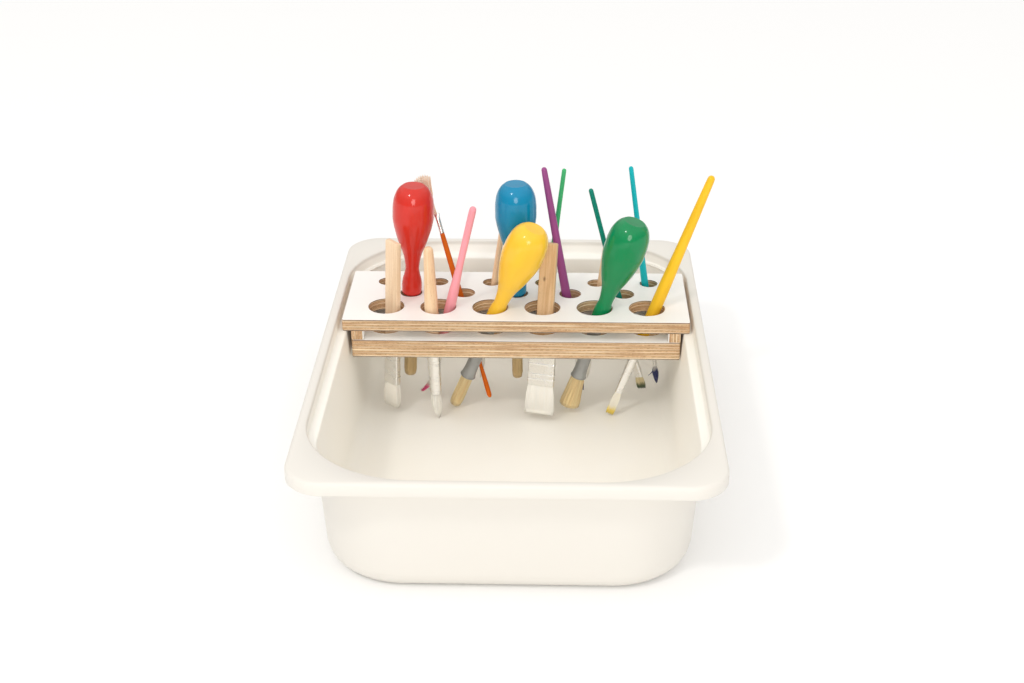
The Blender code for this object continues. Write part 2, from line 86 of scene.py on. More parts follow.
# Tub sections in millimetres, up the inside, over the rim and down the outside: inset from the half width,
# inset from the half length, corner radius, height. Heights are above the floor, the ledge or the tub's top.
TUB_FOOT = (
    (32.6, 37.0, 45.0, 2.0), (28.6, 33.2, 49.0, 2.5), (26.0, 30.6, 51.5, 4.0),
    (23.4, 28.0, 53.5, 6.6), (21.3, 25.9, 55.0, 10.4), (20.1, 24.6, 56.0, 15.0),
)
LEDGE_INSIDE = (
    (15.2, 20.8, 57.0, -1.5), (14.8, 20.3, 57.4, -0.5), (14.0, 19.6, 58.2, 0.0),
    (9.0, 12.0, 74.5, 0.0), (8.2, 10.6, 75.6, 0.3), (7.9, 9.4, 77.0, 1.2),
)
RIM = (
    (7.5, 7.2, 80.0, -1.4), (7.1, 6.8, 80.2, -0.5), (6.3, 6.0, 80.4, 0.0),
    (2.6, 2.6, 25.4, 0.0), (1.5, 1.5, 26.5, -0.2), (0.6, 0.6, 27.4, -0.8),
    (0.1, 0.1, 27.9, -1.8), (0.0, 0.0, 28.0, -2.8), (0.0, 0.0, 28.0, -9.4),
    (0.3, 0.3, 27.7, -9.9), (1.7, 1.7, 26.3, -9.9), (2.0, 2.0, 26.0, -9.5),
    (2.2, 2.2, 25.8, -3.0), (3.4, 3.4, 25.0, -2.3), (5.3, 5.0, 82.0, -2.3), (5.9, 6.2, 81.0, -3.4),
)
LEDGE_OUTSIDE = (
    (6.3, 9.1, 77.0, -1.6), (7.4, 10.4, 76.0, -2.2), (11.8, 17.4, 60.4, -2.2),
    (12.8, 18.4, 59.6, -2.8), (13.2, 18.8, 59.0, -4.0),
)
TUB_HEEL = (
    (18.0, 22.4, 58.0, 14.0), (19.2, 23.6, 57.2, 8.6), (21.4, 25.8, 55.2, 4.6),
    (24.4, 29.0, 52.5, 1.6), (27.4, 32.2, 49.6, 0.4), (30.6, 35.4, 46.5, 0.0),
)

# Screw thread and ferrule wall in millimetres, steps round a turned piece, and bristles of the fan
THREAD_ROOT = 1.3
THREAD_CREST = 1.68
THREAD_PITCH = 1.1
FERRULE_WALL = 0.45
HANDLE_STEPS = 40
BULB_STEPS = 64
FERRULE_STEPS = 48
FAN_STRANDS = 620

# Stained bristles: light and dark shade of the hair, paint colour, height where the stain starts and is full
STAINS = {
    "pink": ((0.86, 0.78, 0.70), (0.80, 0.66, 0.60), (0.80, 0.05, 0.22), -0.0785, -0.0835),
    "dark": ((0.55, 0.50, 0.50), (0.40, 0.36, 0.38), (0.055, 0.03, 0.12), -0.072, -0.080),
    "blue": ((0.70, 0.68, 0.66), (0.55, 0.52, 0.50), (0.018, 0.03, 0.16), -0.079, -0.083),
    "yellow": ((1.0, 0.96, 0.86), (0.96, 0.89, 0.72), (1.0, 0.76, 0.10), -0.0925, -0.0990),
    "olive": ((0.80, 0.70, 0.44), (0.60, 0.48, 0.24), (0.045, 0.085, 0.03), -0.0835, -0.0885),
}

# Lights: name, place, size in metres, power in watts, colour
LIGHTS = (
    ("key", (-1.0, -1.5, 2.1), 0.3, 10.0, (1.0, 0.985, 0.96)),
    ("front", (0.1, -2.4, 0.95), 1.0, 15.0, (1.0, 0.98, 0.94)),
)
LIGHT_AIM = (0.0, 0.0, 0.05)
FLOOR_REACH = 9.0
FLOOR_DROP = 0.0002


# ---- node helpers

def new_surface(name, roughness, metallic=0.0, coat=0.0, coat_roughness=0.06, specular=0.5, sheen=0.0):
    """Principled material; returns it with its node tree and shader."""
    made = bpy.data.materials.new(name)
    made.use_nodes = True
    shader = made.node_tree.nodes["Principled BSDF"]
    values = {"Roughness": roughness, "Metallic": metallic, "Coat Weight": coat,
              "Coat Roughness": coat_roughness, "Specular IOR Level": specular, "Sheen Weight": sheen}
    for key, value in values.items():
        shader.inputs[key].default_value = value
    return made, made.node_tree, shader


def add_node(tree, kind, inputs, **settings):
    """Outputs of a new node with these settings; each input gets a plain value or a link."""
    made = tree.nodes.new("ShaderNode" + kind)
    for name, value in settings.items():
        setattr(made, name, value)
    for key, value in inputs.items():
        if isinstance(value, bpy.types.NodeSocket):
            tree.links.new(value, made.inputs[key])
        else:
            made.inputs[key].default_value = value
    return made.outputs


def object_coords(tree, scale):
    """The piece's own coordinates in metres, stretched along its axes."""
    place = add_node(tree, "TexCoord", {})["Object"]
    return add_node(tree, "Mapping", {"Vector": place, "Scale": scale})["Vector"]


def noise(tree, stretch, scale, detail=4.0, roughness=0.5, distortion=0.0):
    """Fractal noise from 0 to 1 over the piece's stretched coordinates."""
    inputs = {"Vector": object_coords(tree, stretch), "Scale": scale, "Detail": detail,
              "Roughness": roughness, "Distortion": distortion}
    return add_node(tree, "TexNoise", inputs)["Fac"]


def maths(tree, operation, first, second=0.0, third=0.0):
    return add_node(tree, "Math", {0: first, 1: second, 2: third}, operation=operation)[0]


def spread(tree, value, low, high, to_low=0.0, to_high=1.0):
    """Smooth step of a value from [low, high] to [to_low, to_high]."""
    inputs = {"Value": value, "From Min": low, "From Max": high, "To Min": to_low, "To Max": to_high}
    return add_node(tree, "MapRange", inputs, interpolation_type="SMOOTHSTEP")["Result"]


def blend(tree, factor, first, second):
    """Mix of two colours, each a tuple or an output."""
    colours = [(*value, 1.0) if isinstance(value, tuple) else value for value in (first, second)]
    return add_node(tree, "Mix", {0: factor, 6: colours[0], 7: colours[1]}, data_type="RGBA")[2]


def split(tree, vector):
    return add_node(tree, "SeparateXYZ", {0: vector})


def paint(tree, shader, colour, roughness=None):
    """Feeds a material's base colour and, where it varies, its roughness."""
    tree.links.new(colour, shader.inputs["Base Color"])
    if roughness is not None:
        tree.links.new(roughness, shader.inputs["Roughness"])


def scaled(values, factor):
    return tuple(value * factor for value in values)


def add_bump(tree, shader, height, distance, strength=1.0):
    inputs = {"Strength": strength, "Distance": distance, "Height": height}
    tree.links.new(add_node(tree, "Bump", inputs)["Normal"], shader.inputs["Normal"])


# ---- materials

def tub_plastic():
    """Warm white moulded plastic with faint flow marks; its rim and outside carry painted shade, a darker
    tint that keeps them duller than the inside under the same lamps.
    """
    made, tree, shader = new_surface("tub_plastic", 0.42, specular=0.4)
    cloud = noise(tree, PLAIN, 9.0, 3.0)
    mark = noise(tree, (1.0, 0.25, 1.0), 38.0, 5.0, 0.6, 0.4)
    tint = blend(tree, spread(tree, cloud, 0.3, 0.7), (0.975, 0.945, 0.87), (0.985, 0.958, 0.893))
    tint = blend(tree, spread(tree, mark, 0.60, 0.80, 0.0, 0.12), tint, (0.94, 0.90, 0.81))
    # Painted shade: outward faces and the rim top are mixed towards a darker beige, so they come out less
    # bright than the inside.
    normal = add_node(tree, "NewGeometry", {})["Normal"]
    sideways = object_coords(tree, (1.0, 1.0, 0.0))
    outward = add_node(tree, "VectorMath", {0: normal, 1: sideways}, operation="DOT_PRODUCT")["Value"]
    rim = spread(tree, split(tree, object_coords(tree, PLAIN))[2], *RIM_RANGE)
    painted_shade_outside = maths(tree, "MAXIMUM", spread(tree, outward, 0.02, 0.12), rim)
    tint = blend(tree, painted_shade_outside, tint, (0.81, 0.775, 0.715))
    scuff = noise(tree, (1.0, 6.0, 2.0), 45.0, 6.0, 0.7)
    paint(tree, shader, tint, spread(tree, scuff, 0.35, 0.75, 0.40, 0.46))
    add_bump(tree, shader, noise(tree, PLAIN, 900.0, 2.0), 0.00002, 0.6)
    return made


def plywood(name, axis, base, veneers, thickness):
    """Birch plywood seen on edge: veneers stacked along one axis from base, glue lines between them."""
    made, tree, shader = new_surface(name, 0.55, specular=0.35)
    ripple = noise(tree, PLAIN, 38.0, 3.0, 0.6)
    along = split(tree, object_coords(tree, PLAIN))[axis]
    stack = maths(tree, "MULTIPLY_ADD", along, veneers / thickness, -base * veneers / thickness)
    stack = maths(tree, "MULTIPLY_ADD", maths(tree, "SUBTRACT", ripple, 0.5), 0.55, stack)
    layer = maths(tree, "FLOOR", stack)
    within = maths(tree, "FRACT", stack)
    odd = maths(tree, "PINGPONG", layer, 1.0)
    across = [16.0, 16.0, 16.0]
    across[axis] = 1300.0
    streak = noise(tree, across, 1.0, 5.0, 0.62)
    pores = noise(tree, (420.0, 420.0, 900.0), 1.0, 5.0, 0.75)
    lines = blend(tree, spread(tree, streak, 0.43, 0.60), (1.0, 0.82, 0.57), (0.56, 0.32, 0.165))
    ends = blend(tree, spread(tree, pores, 0.38, 0.64), (0.84, 0.57, 0.33), (0.55, 0.33, 0.17))
    wood = blend(tree, odd, lines, ends)
    shade = add_node(tree, "TexWhiteNoise", {"W": layer}, noise_dimensions="1D")["Value"]
    wood = blend(tree, spread(tree, shade, 0.2, 0.9, 0.0, 0.3), wood, (0.52, 0.32, 0.17))
    edge = maths(tree, "MINIMUM", within, maths(tree, "SUBTRACT", 1.0, within))
    glue = spread(tree, edge, 0.0, 0.16, 0.85, 0.0)
    paint(tree, shader, blend(tree, glue, wood, (0.24, 0.13, 0.07)))
    add_bump(tree, shader, maths(tree, "MULTIPLY_ADD", glue, -1.5, streak), 0.00012)
    return made


def laminate():
    """Thin white pressed laminate, satin, with a fine leathery grain."""
    made, tree, shader = new_surface("white_laminate", 0.38, specular=0.45)
    cloud = noise(tree, PLAIN, 30.0, 3.0)
    tint = blend(tree, cloud, (0.945, 0.915, 0.87), (0.97, 0.95, 0.915))
    paint(tree, shader, tint, spread(tree, noise(tree, PLAIN, 90.0, 5.0), 0.3, 0.7, 0.30, 0.46))
    add_bump(tree, shader, noise(tree, PLAIN, 1500.0, 3.0, 0.6), 0.00002)
    return made


def laminate_edge():
    """Dark pressed-paper core of the laminate, seen where it is cut."""
    made, tree, shader = new_surface("laminate_edge", 0.5)
    speck = noise(tree, (300.0, 300.0, 2500.0), 1.0, 4.0)
    tint = blend(tree, spread(tree, speck, 0.35, 0.65), (0.13, 0.075, 0.045), (0.26, 0.165, 0.10))
    paint(tree, shader, tint)
    add_bump(tree, shader, speck, 0.00003)
    return made


def bare_wood(name, light, dark, grain_scale, knot=None):
    """Sanded light wood with long grain up the brush, short dark rays and an optional knot."""
    made, tree, shader = new_surface(name, 0.46, coat=0.12, specular=0.4)
    grain = noise(tree, (1.0, 1.0, 0.05), grain_scale, 5.0, 0.6, 0.5)
    rays = noise(tree, (1.0, 1.0, 0.16), 2600.0, 2.0, 0.5)
    blotch = noise(tree, PLAIN, 60.0, 2.0)
    wood = blend(tree, spread(tree, grain, 0.36, 0.66), light, dark)
    wood = blend(tree, spread(tree, rays, 0.60, 0.72, 0.0, 0.5), wood, scaled(dark, 0.62))
    wood = blend(tree, spread(tree, blotch, 0.35, 0.7, 0.0, 0.25), wood, scaled(light, 1.06))
    if knot is not None:
        stretched = object_coords(tree, (1.0, 1.0, 0.55))
        away = add_node(tree, "VectorMath", {0: stretched, 1: knot}, operation="DISTANCE")["Value"]
        wood = blend(tree, spread(tree, away, 0.0003, 0.0016, 0.85, 0.0), wood, (0.20, 0.10, 0.05))
    paint(tree, shader, wood, spread(tree, grain, 0.3, 0.7, 0.40, 0.56))
    add_bump(tree, shader, maths(tree, "MULTIPLY_ADD", rays, 0.6, grain), 0.00006)
    return made


def lacquer(name, colour, gloss=False):
    """Coloured lacquer over turned wood: the wood's long ripples and pin marks show through the coat."""
    coat = 0.65 if gloss else 0.15
    made, tree, shader = new_surface(name, 0.35, coat=coat, coat_roughness=0.09, specular=0.1)
    shade = scaled(colour, 0.95 if gloss else 0.86)
    cloud = noise(tree, (1.0, 1.0, 0.2), 130.0, 3.0)
    tint = blend(tree, spread(tree, cloud, 0.3, 0.72), colour, shade)
    speck = noise(tree, PLAIN, 1300.0, 2.0)
    tint = blend(tree, spread(tree, speck, 0.74, 0.80, 0.0, 0.6), tint, scaled(colour, 0.45))
    ripple = noise(tree, (1.0, 1.0, 0.12), 260.0, 2.0)
    peel = noise(tree, PLAIN, 700.0, 1.0)
    paint(tree, shader, tint, spread(tree, cloud, 0.3, 0.7, 0.30, 0.38))
    add_bump(tree, shader, maths(tree, "MULTIPLY_ADD", peel, 0.4, ripple), 0.00001 if gloss else 0.00002)
    return made


def plated(name, colour, low, high):
    """Smooth drawn metal, brushed round the tube by fine lines of gloss, with dull patches."""
    made, tree, shader = new_surface(name, low, metallic=1.0)
    dull = noise(tree, PLAIN, 90.0, 3.0)
    lines = noise(tree, (30.0, 30.0, 2600.0), 1.0, 2.0)
    tint = blend(tree, spread(tree, dull, 0.35, 0.7), colour, scaled(colour, 0.95))
    gloss = maths(tree, "MULTIPLY_ADD", lines, 0.3, maths(tree, "MULTIPLY", dull, 0.7))
    paint(tree, shader, tint, spread(tree, gloss, 0.35, 0.65, low, high))
    return made


def grey_coated():
    """Satin grey ferrule of the bulb brushes."""
    made, tree, shader = new_surface("grey_ferrule", 0.38, metallic=0.35, specular=0.6)
    dull = noise(tree, PLAIN, 150.0, 4.0)
    tint = blend(tree, spread(tree, dull, 0.3, 0.7), (0.36, 0.365, 0.36), (0.32, 0.325, 0.32))
    paint(tree, shader, tint, spread(tree, dull, 0.3, 0.7, 0.30, 0.44))
    lines = noise(tree, (40.0, 40.0, 3000.0), 1.0, 3.0)
    add_bump(tree, shader, lines, 0.00001)
    return made


def hair(name, light, dark, stain=None, stain_top=0.0, stain_full=0.0):
    """Bristle, shaded strand by strand; a stain covers the tuft below a height along the brush."""
    made, tree, shader = new_surface(name, 0.62, specular=0.3, sheen=0.25)
    strand = add_node(tree, "Attribute", {}, attribute_name="strand")["Fac"]
    lengthwise = noise(tree, (900.0, 900.0, 60.0), 1.0, 3.0)
    mixed = maths(tree, "MULTIPLY", lengthwise, 0.35)
    mixed = maths(tree, "MULTIPLY_ADD", strand, 0.65, mixed)
    tint = blend(tree, spread(tree, mixed, 0.2, 0.9), light, dark)
    if stain is not None:
        uneven = noise(tree, (500.0, 500.0, 90.0), 1.0, 3.0)
        shift = maths(tree, "SUBTRACT", uneven, 0.5)
        height = maths(tree, "MULTIPLY_ADD", shift, 0.006, split(tree, object_coords(tree, PLAIN))[2])
        tint = blend(tree, spread(tree, height, stain_full, stain_top, 0.95, 0.0), tint, stain)
    paint(tree, shader, tint)
    add_bump(tree, shader, lengthwise, 0.00004)
    return made


def stained(name):
    return hair(name + "_stained_hair", *STAINS[name])


# ---- mesh helpers

def add_object(name, data):
    item = bpy.data.objects.new(name, data)
    bpy.context.scene.collection.objects.link(item)
    return item


def show(name, mesh, surfaces, sharp=None):
    """Object for a mesh, smooth but for the edges that bend by more than an angle in degrees."""
    for surface in surfaces:
        mesh.materials.append(surface)
    mesh.shade_smooth()
    if sharp is not None:
        mesh.set_sharp_from_angle(angle=math.radians(sharp))
    return add_object(name, mesh)


def show_bmesh(name, bm, surfaces, sharp):
    mesh = bpy.data.meshes.new(name)
    bm.to_mesh(mesh)
    bm.free()
    return show(name, mesh, surfaces, sharp)


def attach(item, body, slot, node=None):
    """The item rides a body and can stand in for a CAD node, which is then hidden; the slot argument is not
    used.
    """
    if node is not None:
        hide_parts(node)
    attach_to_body(item, body)


def box_middle(low, high):
    """Centre and half size of a box, in millimetres."""
    pairs = list(zip(low, high))
    return [(a + b) / 2 / MM for a, b in pairs], [(b - a) / 2 / MM for a, b in pairs]


def circle(radius, height, steps):
    angles = [math.tau * i / steps for i in range(steps)]
    return [(radius * math.cos(a), radius * math.sin(a), height) for a in angles]


def rounded_rectangle(half_x, half_y, radius, height, steps):
    """Rounded rectangle, anticlockwise from above; its corners never exceed the shorter half side."""
    radius = min(radius, half_x, half_y)
    points = []
    for corner, (side_x, side_y) in enumerate(CORNERS):
        x, y = side_x * (half_x - radius), side_y * (half_y - radius)
        for i in range(steps + 1):
            angle = (corner + i / steps) * math.pi / 2
            points.append((x + radius * math.cos(angle), y + radius * math.sin(angle), height))
    return points


def skin(loops, ring=False):
    """Vertices and faces over a stack of loops of equal counts; a ring closes on itself."""
    count = len(loops[0])
    vertices = [point for loop in loops for point in loop]
    faces = []
    rows = len(loops)
    for row in range(rows if ring else rows - 1):
        low, high = row * count, (row + 1) % rows * count
        for i in range(count):
            j = (i + 1) % count
            faces.append((low + i, low + j, high + j, high + i))
    if not ring:
        faces.append(tuple(range(count))[::-1])
        faces.append(tuple(range((rows - 1) * count, rows * count)))
    return vertices, faces


def turned(outline, steps):
    """Skin of a turned shape from its (height, radius) rows."""
    return skin([circle(radius, height, steps) for height, radius in outline])


def add_piece(name, shape, surfaces, sharp=40.0):
    """Object from (vertices in millimetres, faces), with the points that meet joined."""
    vertices, faces = shape
    mesh = bpy.data.meshes.new(name)
    mesh.from_pydata([scaled(v, MM) for v in vertices], [], faces)
    bm = bmesh.new()
    bm.from_mesh(mesh)
    bmesh.ops.remove_doubles(bm, verts=bm.verts, dist=WELD)
    bmesh.ops.recalc_face_normals(bm, faces=bm.faces)
    bm.to_mesh(mesh)
    bm.free()
    return show(name, mesh, surfaces, sharp)


def smooth_curve(points, per_span):
    """Curve through the points, parametrised by chord, with no overshoot between them."""
    points = np.array(points, float)
    chord = np.concatenate([[0.0], np.cumsum(np.linalg.norm(np.diff(points, axis=0), axis=1))])
    step = np.diff(chord)
    slope = np.diff(points, axis=0) / step[:, None]
    tangent = np.zeros_like(points)
    tangent[0], tangent[-1] = slope[0], slope[-1]
    for i in range(1, len(points) - 1):
        a, b = slope[i - 1], slope[i]
        same = a * b > 0
        before, after = step[i] + 2 * step[i - 1], 2 * step[i] + step[i - 1]
        mean = (before + after) / (before / np.where(same, a, 1.0) + after / np.where(same, b, 1.0))
        tangent[i] = np.where(same, mean, 0.0)
    out = []
    for i in range(len(points) - 1):
        for t in np.linspace(0.0, 1.0, per_span, endpoint=False):
            near = (2 * t**3 - 3 * t**2 + 1) * points[i] + (t**3 - 2 * t**2 + t) * step[i] * tangent[i]
            far = (3 * t**2 - 2 * t**3) * points[i + 1] + (t**3 - t**2) * step[i] * tangent[i + 1]
            out.append(near + far)
    out.append(points[-1])
    return [tuple(p) for p in out]


# ---- tub

def tub_stations():
    """(half width, half length, corner radius, height) up the inside, over the rim and down the outside."""
    half = box_middle(TUB_LOW, TUB_HIGH)[1]
    top = TUB_HIGH.z / MM
    stations = []
    groups = ((TUB_FOOT, 0.0), (LEDGE_INSIDE, LEDGE), (RIM, top), (LEDGE_OUTSIDE, LEDGE), (TUB_HEEL, 0.0))
    for rows, level in groups:
        stations += [(half[0] - x, half[1] - y, radius, level + height) for x, y, radius, height in rows]
    return stations


def build_tub(plastic):
    loops = [rounded_rectangle(*station, 28) for station in tub_stations()]
    attach(add_piece("tub_shell", skin(loops), [plastic], sharp=60.0), "tub", "tub_plastic", "tub")
    build_ledge_ribs(plastic)


def build_ledge_ribs(plastic):
    """Two low curved ribs on the ledge at each corner, following the opening."""
    half_x = TUB_HIGH.x / MM - 9.0
    half_y = TUB_HIGH.y / MM - 12.5
    radius = 74.0
    for corner, (side_x, side_y) in enumerate(CORNERS):
        centre = (side_x * (half_x - radius), side_y * (half_y - radius))
        for number, inset in enumerate((0.9, 3.0)):
            shape = curved_rib(centre, radius - inset, corner * 90.0 + 18.0, 54.0)
            attach(add_piece(f"ledge_rib_{corner}_{number}", shape, [plastic]), "tub", "tub_plastic")


def curved_rib(centre, radius, start, sweep):
    """Half-round rib along an arc of the ledge that sinks into it at both ends."""
    half_width, rise = 0.55, 0.9
    loops = []
    steps, around = 28, 10
    for i in range(steps + 1):
        share = i / steps
        angle = math.radians(start + sweep * share)
        size = max(math.sin(math.pi * share), 0.02) ** 0.35
        loop = []
        for k in range(around):
            turn = math.tau * k / around
            across = radius + half_width * size * math.cos(turn)
            height = LEDGE + rise * size * math.sin(turn)
            loop.append((centre[0] + math.cos(angle) * across, centre[1] + math.sin(angle) * across, height))
        loops.append(loop)
    return skin(loops)


# ---- rack

def hole_places(low, high):
    """(x, y, radius) of every hole, in millimetres, for a board with this box."""
    middle = box_middle(low, high)[0][0]
    places = []
    for count, pitch, depth, radius in HOLE_ROWS:
        for number in range(count):
            places.append((middle + (number - (count - 1) / 2) * pitch, low.y / MM + depth, radius))
    return places


def ring_pairs(loop):
    return zip(loop, loop[1:] + loop[:1])


def perforated(name, low, high, stations, surfaces, decor=0):
    """Plate with its holes; stations are (height, inset) from bottom to top, inset drawing back every edge.

    With decor, 1 for a top sheet and -1 for an underside, the walls but for the outer rounding take the
    second surface.
    """
    bm = bmesh.new()
    centre, half = box_middle(low, high)
    ends = []
    for hole in [None] + hole_places(low, high):
        rows = []
        for height, inset in stations:
            if hole is None:
                loop = rounded_rectangle(half[0] - inset, half[1] - inset, BOARD_CORNER, height, 6)
                x, y = centre[:2]
            else:
                x, y, radius = hole
                loop = circle(radius + inset, height, 72 if radius > 10.0 else 48)
            rows.append([bm.verts.new(((px + x) * MM, (py + y) * MM, pz * MM)) for px, py, pz in loop])
        for number, (lower, upper) in enumerate(zip(rows, rows[1:])):
            rounding = number == (len(rows) - 2 if decor > 0 else 0)
            for (a, b), (c, d) in zip(ring_pairs(lower), ring_pairs(upper)):
                face = bm.faces.new((a, b, d, c))
                face.material_index = 0 if rounding or not decor else 1
        ends.append((rows[0], rows[-1]))
    for side in (0, 1):
        edges = []
        for pair in ends:
            edges += [bm.edges.get(sides) for sides in ring_pairs(pair[side])]
        bmesh.ops.triangle_fill(bm, use_beauty=True, edges=edges, normal=(0.0, 0.0, 1.0))
    bmesh.ops.recalc_face_normals(bm, faces=bm.faces)
    return show_bmesh(name, bm, surfaces, 30.0)


def build_board(node, veneers, white, cut):
    """Plywood core with a groove at each glue line, between two sheets of laminate."""
    low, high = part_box(node)
    base, top = low.z / MM + LAMINATE, high.z / MM - LAMINATE
    pitch = (top - base) / veneers
    groove = 0.08
    stations = [(base, 0.2)]
    for number in range(veneers):
        floor = base + number * pitch
        stations += [(floor + 0.14 * pitch, 0.0), (floor + 0.86 * pitch, 0.0)]
        if number < veneers - 1:
            stations.append((floor + pitch, groove))
    stations.append((top, 0.2))
    wood = plywood(node + "_plies", 2, base * MM, veneers, (top - base) * MM)
    attach(perforated(node + "_core", low, high, stations, [wood]), "rack", "plywood", node)
    for side, inner, outer, decor in (("top", top, high.z / MM, 1), ("underside", base, low.z / MM, -1)):
        rows = [(inner, 0.1), (outer - 0.16 * decor, 0.1), (outer, 0.26)]
        sheet = perforated(f"{node}_{side}_laminate", low, high, sorted(rows), [white, cut], decor)
        attach(sheet, "rack", "plywood")


def block(name, low, high, edge, surface):
    """Box between two corners, in millimetres, with its edges rounded."""
    bm = bmesh.new()
    bmesh.ops.create_cube(bm, size=1.0)
    bmesh.ops.scale(bm, vec=(high - low), verts=bm.verts)
    bmesh.ops.translate(bm, vec=(low + high) / 2, verts=bm.verts)
    bmesh.ops.bevel(bm, geom=bm.edges[:], offset=edge, segments=3, profile=0.5, affect="EDGES")
    return show_bmesh(name, bm, [surface], 50.0)


def build_spacers(white):
    """Plywood strips on edge, their veneers upright, laminate on the inward face."""
    sheet = LAMINATE * MM
    for name, inward in (("left_spacer", 1), ("right_spacer", -1)):
        low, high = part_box(name)
        wood_low, wood_high = low.copy(), high.copy()
        sheet_low, sheet_high = low.copy(), high.copy()
        if inward > 0:
            wood_high.x -= sheet
            sheet_low.x = wood_high.x
        else:
            wood_low.x += sheet
            sheet_high.x = wood_low.x
        wood = plywood(name + "_plies", 0, wood_low.x, SPACER_VENEERS, wood_high.x - wood_low.x)
        attach(block(name + "_strip", wood_low, wood_high, 0.00025, wood), "rack", "plywood", name)
        attach(block(name + "_laminate", sheet_low, sheet_high, 0.0002, white), "rack", "plywood")


def build_screws(zinc):
    """Pan-head screws with a cross recess, seen from under the rack."""
    for node in [n for n in frame["nodes"] if n.startswith("screw_")]:
        low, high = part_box(node)
        centre, half = box_middle(low, high)
        head, top, radius = low.z / MM, high.z / MM, half[0]
        bowl = [(head, radius * 0.55), (head + 0.35, radius * 0.82), (head + 1.0, radius * 0.98)]
        outline = smooth_curve(bowl, 4)
        outline += [(head + 1.9, radius), (head + 2.0, radius * 0.97), (head + 2.0, 1.5)]
        turn = head + 2.4
        while turn < top - 2.0:
            outline += [(turn, THREAD_ROOT), (turn + 0.5, THREAD_CREST), (turn + 0.6, THREAD_CREST)]
            turn += THREAD_PITCH
        outline += [(top - 1.6, THREAD_ROOT), (top, 0.25)]
        vertices, faces = turned(outline, 32)
        vertices = [(x + centre[0], y + centre[1], z) for x, y, z in vertices]
        screw = add_piece(node + "_body", (vertices, faces), [zinc], sharp=35.0)
        cut_cross(screw, centre, head)
        attach(screw, "rack", "zinc", node)


def cut_cross(screw, centre, head):
    """Sinks a tapered cross into the head."""
    cutter_mesh = bpy.data.meshes.new("cross")
    bm = bmesh.new()
    for turned in (0.0, math.pi / 2):
        made = bmesh.ops.create_cube(bm, size=1.0)["verts"]
        for vertex in made:
            deep = vertex.co.z > 0
            vertex.co.x *= 2.2 if deep else 4.0
            vertex.co.y *= 0.5 if deep else 0.85
            vertex.co.z = head + (1.4 if deep else -0.5)
        bmesh.ops.rotate(bm, verts=made, cent=(0, 0, 0), matrix=Matrix.Rotation(turned, 3, "Z"))
        bmesh.ops.translate(bm, vec=(centre[0], centre[1], 0.0), verts=made)
    bmesh.ops.scale(bm, vec=(MM, MM, MM), verts=bm.verts)
    bm.to_mesh(cutter_mesh)
    bm.free()
    cutter = add_object("cross", cutter_mesh)
    cut = screw.modifiers.new("Recess", "BOOLEAN")
    cut.operation = "DIFFERENCE"
    cut.use_self = True
    cut.object = cutter
    bpy.context.view_layer.update()
    evaluated = screw.evaluated_get(bpy.context.evaluated_depsgraph_get())
    carved = bpy.data.meshes.new_from_object(evaluated)
    screw.modifiers.clear()
    screw.data = carved
    bpy.data.objects.remove(cutter, do_unlink=True)


# ---- brush frames

def axes_matrix(x, y, z, origin):
    rows = [(x[i], y[i], z[i], origin[i]) for i in range(3)]
    return Matrix((*rows, (0.0, 0.0, 0.0, 1.0)))


def unique_points(node):
    mesh = frame["nodes"][node].data
    return np.array(sorted({tuple(round(c, 6) for c in v.co) for v in mesh.vertices}))


class Brush:
    """A brush's own frame, found from its slide axis and its CAD pieces."""

    def __init__(self, body):
        self.body = body
        joint = next(j for j in frame["joints"] if j["child"] == body)
        up = Vector(joint["axis"]).normalized()
        middle = Vector(unique_points(body + "_handle").mean(axis=0))
        origin = middle + up * ((RACK_TOP - middle.z) / up.z)
        tuft = unique_points(body + "_bristles")
        flat = tuft - tuft.mean(axis=0)
        flat -= np.outer(flat @ np.array(up), np.array(up))
        spreads, directions = np.linalg.eigh(flat.T @ flat)
        across = Vector(directions[:, -1])
        if spreads[-1] < 1.05 * spreads[-2]:
            across = Vector((1.0, 0.0, 0.0))
        across = (across - up * across.dot(up)).normalized()
        if across.x < 0:
            across = -across
        depth = up.cross(across)
        self.matrix = axes_matrix(across, depth, up, origin)
        self.inverse = self.matrix.inverted()

    def sections(self, part):
        """(height, half width, half depth, radius) rows of a CAD piece, from the top, in millimetres."""
        rows = {}
        for point in unique_points(f"{self.body}_{part}"):
            x, y, z = self.inverse @ Vector(point) / MM
            key = round(z, 1)
            wide, deep, radius = rows.get(key, (0.0, 0.0, 0.0))
            rows[key] = (max(wide, abs(x)), max(deep, abs(y)), max(radius, math.hypot(x, y)))
        return [(height, *rows[height]) for height in sorted(rows, reverse=True)]

    def profile(self, part):
        """(height, radius) rows of a turned CAD piece."""
        return [(row[0], row[3]) for row in self.sections(part)]

    def ferrule_ends(self):
        """Heights of the ferrule's upper and lower end."""
        rows = self.sections("ferrule")
        return rows[0][0], rows[-1][0]

    def add(self, part, shape, surface, slot, sharp):
        """Piece in the brush's frame that stands in for its CAD handle or ferrule."""
        item = add_piece(f"{self.body}_{part}_skin", shape, [surface], sharp)
        item.matrix_world = self.matrix
        attach(item, self.body, slot, f"{self.body}_{part}")


# ---- handles

def handle_rows(brush):
    """Visible part of a handle, without the tenon: above its ferrule, or below it on the fan brush."""
    upper, lower = brush.ferrule_ends()
    rows = brush.profile("handle")
    if rows[-1][0] < lower - 5.0:
        return [row for row in rows if row[0] <= lower]
    return [row for row in rows if row[0] >= upper]


def turned_handle(brush, surface, slot):
    outline = smooth_curve([(z, max(r, 0.05)) for z, r in handle_rows(brush)], 7)
    brush.add("handle", turned(outline[::-1], HANDLE_STEPS), surface, slot, 50.0)


